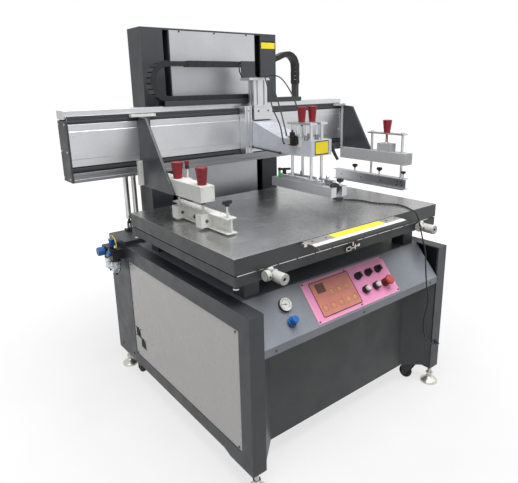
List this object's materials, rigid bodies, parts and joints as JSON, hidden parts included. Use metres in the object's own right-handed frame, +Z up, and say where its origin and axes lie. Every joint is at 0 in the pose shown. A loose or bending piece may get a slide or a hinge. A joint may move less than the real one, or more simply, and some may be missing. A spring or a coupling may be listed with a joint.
{
  "type": "flatbed screen printer",
  "caption": "Flatbed screen printer: vacuum table on a cabinet, column, rising beam with two screen-clamp arms and a travelling squeegee head.",
  "frame": {"origin": "on the floor, at the middle of the machine's own footprint (the free cord left out)", "axes": "+X to the operator's right, +Y away from the operator to the column, +Z up"},
  "size_m": [1.588, 1.1615, 1.642],
  "materials": {
    "frame_paint": "fine orange-peel satin enamel",
    "panel_paint": "satin powder coat",
    "console_paint": "hammered satin enamel",
    "front_paint": "satin enamel",
    "pink_plate": "satin printed plate",
    "orange_film": "textured membrane",
    "stainless": "polished sheet",
    "dark_steel": "black oxide",
    "anodised": "natural anodised",
    "cover_sheet": "satin sheet",
    "chrome_rod": "polished",
    "zinc": "bright zinc",
    "white_paint": "gloss enamel",
    "white_plastic": "moulded",
    "red_plastic": "moulded",
    "black_plastic": "moulded",
    "blue_plastic": "moulded",
    "chain_plastic": "moulded links",
    "rubber_black": "matt",
    "clear_bowl": "clear moulded bowl",
    "yellow_film": "printed label film",
    "brass_fitting": "plated"
  },
  "bodies": {
    "base": {"side_frames": "frame_paint", "side_panels": "panel_paint", "rear_base": "frame_paint", "floor_pan": "frame_paint", "console": "console_paint", "front_panels": "front_paint", "feet_and_forks": "zinc", "control_plate": "pink_plate", "keypad": "orange_film", "panel_fittings": "black_plastic", "table_frame": "dark_steel", "column": "frame_paint", "column_covers": "cover_sheet", "damper_barrels": "anodised", "filter_unit": "black_plastic", "cord_gland": "rubber_black", "foot_switch_cord": "rubber_black", "cord_plug": "black_plastic"},
    "front_left_wheel": {"wheel_front_left": "rubber_black"},
    "front_right_wheel": {"wheel_front_right": "rubber_black"},
    "rear_left_wheel": {"wheel_rear_left": "rubber_black"},
    "rear_right_wheel": {"wheel_rear_right": "rubber_black"},
    "left_selector": {"selector_left": "black_plastic"},
    "middle_selector": {"selector_middle": "black_plastic"},
    "right_selector": {"selector_right": "black_plastic"},
    "left_button": {"button_left": "white_plastic"},
    "right_button": {"button_right": "white_plastic"},
    "emergency_stop": {"stop_button": "red_plastic"},
    "pressure_knob": {"regulator_knob": "blue_plastic"},
    "cross_slide": {"table_slide": "zinc"},
    "table": {"table_top": "stainless", "register_plate": "stainless"},
    "left_table_knob": {"table_knob_left": "white_plastic"},
    "right_table_knob": {"table_knob_right": "white_plastic"},
    "side_table_knob": {"table_knob_side": "white_plastic"},
    "lift": {"beam": "anodised", "beam_rails": "anodised", "beam_ends": "dark_steel", "damper_rods": "chrome_rod"},
    "upright_chain": {"chain_arch": "chain_plastic"},
    "flat_chain": {"chain_bend": "chain_plastic"},
    "left_arm": {"left_gusset": "frame_paint", "left_arm_tube": "white_paint"},
    "left_clamp": {"left_clamp_rail": "anodised"},
    "left_front_knob": {"left_knob_front": "red_plastic"},
    "left_rear_knob": {"left_knob_rear": "red_plastic"},
    "left_screw": {"left_clamp_screw": "black_plastic"},
    "right_arm": {"right_gusset": "frame_paint", "right_arm_tube": "white_paint"},
    "right_clamp": {"right_clamp_rail": "anodised"},
    "right_height_knob": {"right_knob": "red_plastic"},
    "right_screw": {"right_clamp_screw": "black_plastic"},
    "head": {"head_carriage": "anodised", "head_arm": "white_paint", "head_hoses": "rubber_black", "chain_upper": "chain_plastic"},
    "squeegee": {"squeegee_bar": "anodised"},
    "flood": {"flood_bar": "anodised"},
    "squeegee_pressure": {"squeegee_knob": "red_plastic"},
    "flood_pressure": {"flood_knob": "red_plastic"}
  },
  "joints": [
    {"name": "beam_lift", "type": "slide", "parent": "base", "child": "lift", "axis": [0, 0, 1], "range_m": [0, 0.15]},
    {"name": "upright_chain_roll", "type": "slide", "parent": "base", "child": "upright_chain", "axis": [0, 0, 1], "range_m": [0, 0.075]},
    {"name": "head_traverse", "type": "slide", "parent": "lift", "child": "head", "axis": [1, 0, 0], "range_m": [-0.19, 0.38]},
    {"name": "flat_chain_roll", "type": "slide", "parent": "lift", "child": "flat_chain", "axis": [1, 0, 0], "range_m": [-0.095, 0.19]},
    {"name": "left_arm_shift", "type": "slide", "parent": "lift", "child": "left_arm", "axis": [1, 0, 0], "range_m": [-0.22, 0.2]},
    {"name": "right_arm_shift", "type": "slide", "parent": "lift", "child": "right_arm", "axis": [1, 0, 0], "range_m": [-0.15, 0]},
    {"name": "left_clamp_height", "type": "slide", "parent": "left_arm", "child": "left_clamp", "axis": [0, 0, 1], "range_m": [0, 0.03]},
    {"name": "left_front_knob_turn", "type": "hinge", "parent": "left_arm", "child": "left_front_knob", "pos_m": [-0.456, -0.134, 1.062], "axis": [0, 0, 1], "range_deg": [0, 7210]},
    {"name": "left_rear_knob_turn", "type": "hinge", "parent": "left_arm", "child": "left_rear_knob", "pos_m": [-0.456, 0.051, 1.062], "axis": [0, 0, 1], "range_deg": [0, 7210]},
    {"name": "left_screw_turn", "type": "hinge", "parent": "left_clamp", "child": "left_screw", "pos_m": [-0.434, -0.263, 0.972], "axis": [0, 0, 1], "range_deg": [-360, 720]},
    {"name": "right_clamp_height", "type": "slide", "parent": "right_arm", "child": "right_clamp", "axis": [0, 0, 1], "range_m": [-0.018, 0.03]},
    {"name": "right_height_knob_turn", "type": "hinge", "parent": "right_clamp", "child": "right_height_knob", "pos_m": [0.764, -0.026, 1.152], "axis": [0, 0, 1], "range_deg": [-4330, 7210]},
    {"name": "right_screw_turn", "type": "hinge", "parent": "right_clamp", "child": "right_screw", "pos_m": [0.756, -0.149, 0.912], "axis": [0, 0, 1], "range_deg": [-360, 720]},
    {"name": "squeegee_drop", "type": "slide", "parent": "head", "child": "squeegee", "axis": [0, 0, 1], "range_m": [-0.045, 0]},
    {"name": "flood_drop", "type": "slide", "parent": "head", "child": "flood", "axis": [0, 0, 1], "range_m": [-0.045, 0]},
    {"name": "squeegee_pressure_turn", "type": "hinge", "parent": "squeegee", "child": "squeegee_pressure", "pos_m": [0.0835, -0.0945, 1.252], "axis": [0, 0, 1], "range_deg": [-1080, 1080]},
    {"name": "flood_pressure_turn", "type": "hinge", "parent": "flood", "child": "flood_pressure", "pos_m": [0.146, -0.0945, 1.252], "axis": [0, 0, 1], "range_deg": [-1080, 1080]},
    {"name": "table_depth", "type": "slide", "parent": "base", "child": "cross_slide", "axis": [0, 1, 0], "range_m": [-0.008, 0.008]},
    {"name": "table_width", "type": "slide", "parent": "cross_slide", "child": "table", "axis": [1, 0, 0], "range_m": [-0.008, 0.008]},
    {"name": "left_table_knob_turn", "type": "hinge", "parent": "base", "child": "left_table_knob", "pos_m": [-0.418, -0.529, 0.774], "axis": [0, 1, 0], "range_deg": [-1930, 1930]},
    {"name": "right_table_knob_turn", "type": "hinge", "parent": "base", "child": "right_table_knob", "pos_m": [0.427, -0.529, 0.774], "axis": [0, 1, 0], "range_deg": [-1930, 1930]},
    {"name": "side_table_knob_turn", "type": "hinge", "parent": "base", "child": "side_table_knob", "pos_m": [0.572, -0.139, 0.774], "axis": [1, 0, 0], "range_deg": [-1930, 1930]},
    {"name": "left_selector_turn", "type": "hinge", "parent": "base", "child": "left_selector", "pos_m": [0.028, -0.48522, 0.64792], "axis": [0, -0.7505, 0.6609], "range_deg": [-45, 45]},
    {"name": "middle_selector_turn", "type": "hinge", "parent": "base", "child": "middle_selector", "pos_m": [0.089, -0.48522, 0.64792], "axis": [0, -0.7505, 0.6609], "range_deg": [-45, 45]},
    {"name": "right_selector_turn", "type": "hinge", "parent": "base", "child": "right_selector", "pos_m": [0.15, -0.48522, 0.64792], "axis": [0, -0.7505, 0.6609], "range_deg": [-45, 45]},
    {"name": "left_button_press", "type": "slide", "parent": "base", "child": "left_button", "axis": [0, -0.7505, 0.6609], "range_m": [-0.0035, 0], "stiffness_N_per_m": 300, "springref_m": 0.002},
    {"name": "right_button_press", "type": "slide", "parent": "base", "child": "right_button", "axis": [0, -0.7505, 0.6609], "range_m": [-0.0035, 0], "stiffness_N_per_m": 300, "springref_m": 0.002},
    {"name": "emergency_stop_press", "type": "slide", "parent": "base", "child": "emergency_stop", "axis": [0, -0.7505, 0.6609], "range_m": [-0.0055, 0]},
    {"name": "pressure_knob_turn", "type": "hinge", "parent": "base", "child": "pressure_knob", "pos_m": [-0.361, -0.53082, 0.59613], "axis": [0, -0.7505, 0.6609], "range_deg": [-720, 720]},
    {"name": "front_left_wheel_roll", "type": "hinge", "parent": "base", "child": "front_left_wheel", "pos_m": [-0.481, -0.447, 0.034], "axis": [1, 0, 0], "continuous": true},
    {"name": "front_right_wheel_roll", "type": "hinge", "parent": "base", "child": "front_right_wheel", "pos_m": [0.445, -0.447, 0.034], "axis": [1, 0, 0], "continuous": true},
    {"name": "rear_left_wheel_roll", "type": "hinge", "parent": "base", "child": "rear_left_wheel", "pos_m": [-0.524, 0.424, 0.034], "axis": [1, 0, 0], "continuous": true},
    {"name": "rear_right_wheel_roll", "type": "hinge", "parent": "base", "child": "rear_right_wheel", "pos_m": [0.488, 0.424, 0.034], "axis": [1, 0, 0], "continuous": true}
  ],
  "couplings": [
    {"joint": "upright_chain_roll", "follows": "beam_lift", "ratio": 0.5},
    {"joint": "flat_chain_roll", "follows": "head_traverse", "ratio": 0.5},
    {"joint": "left_front_knob_turn", "follows": "left_clamp_height", "rad_per_m": 4188.8},
    {"joint": "left_rear_knob_turn", "follows": "left_clamp_height", "rad_per_m": 4188.8},
    {"joint": "right_height_knob_turn", "follows": "right_clamp_height", "rad_per_m": 4188.8},
    {"joint": "left_table_knob_turn", "follows": "table_depth", "rad_per_m": 4188.8},
    {"joint": "right_table_knob_turn", "follows": "table_depth", "rad_per_m": 4188.8},
    {"joint": "side_table_knob_turn", "follows": "table_width", "rad_per_m": 4188.8}
  ]
}
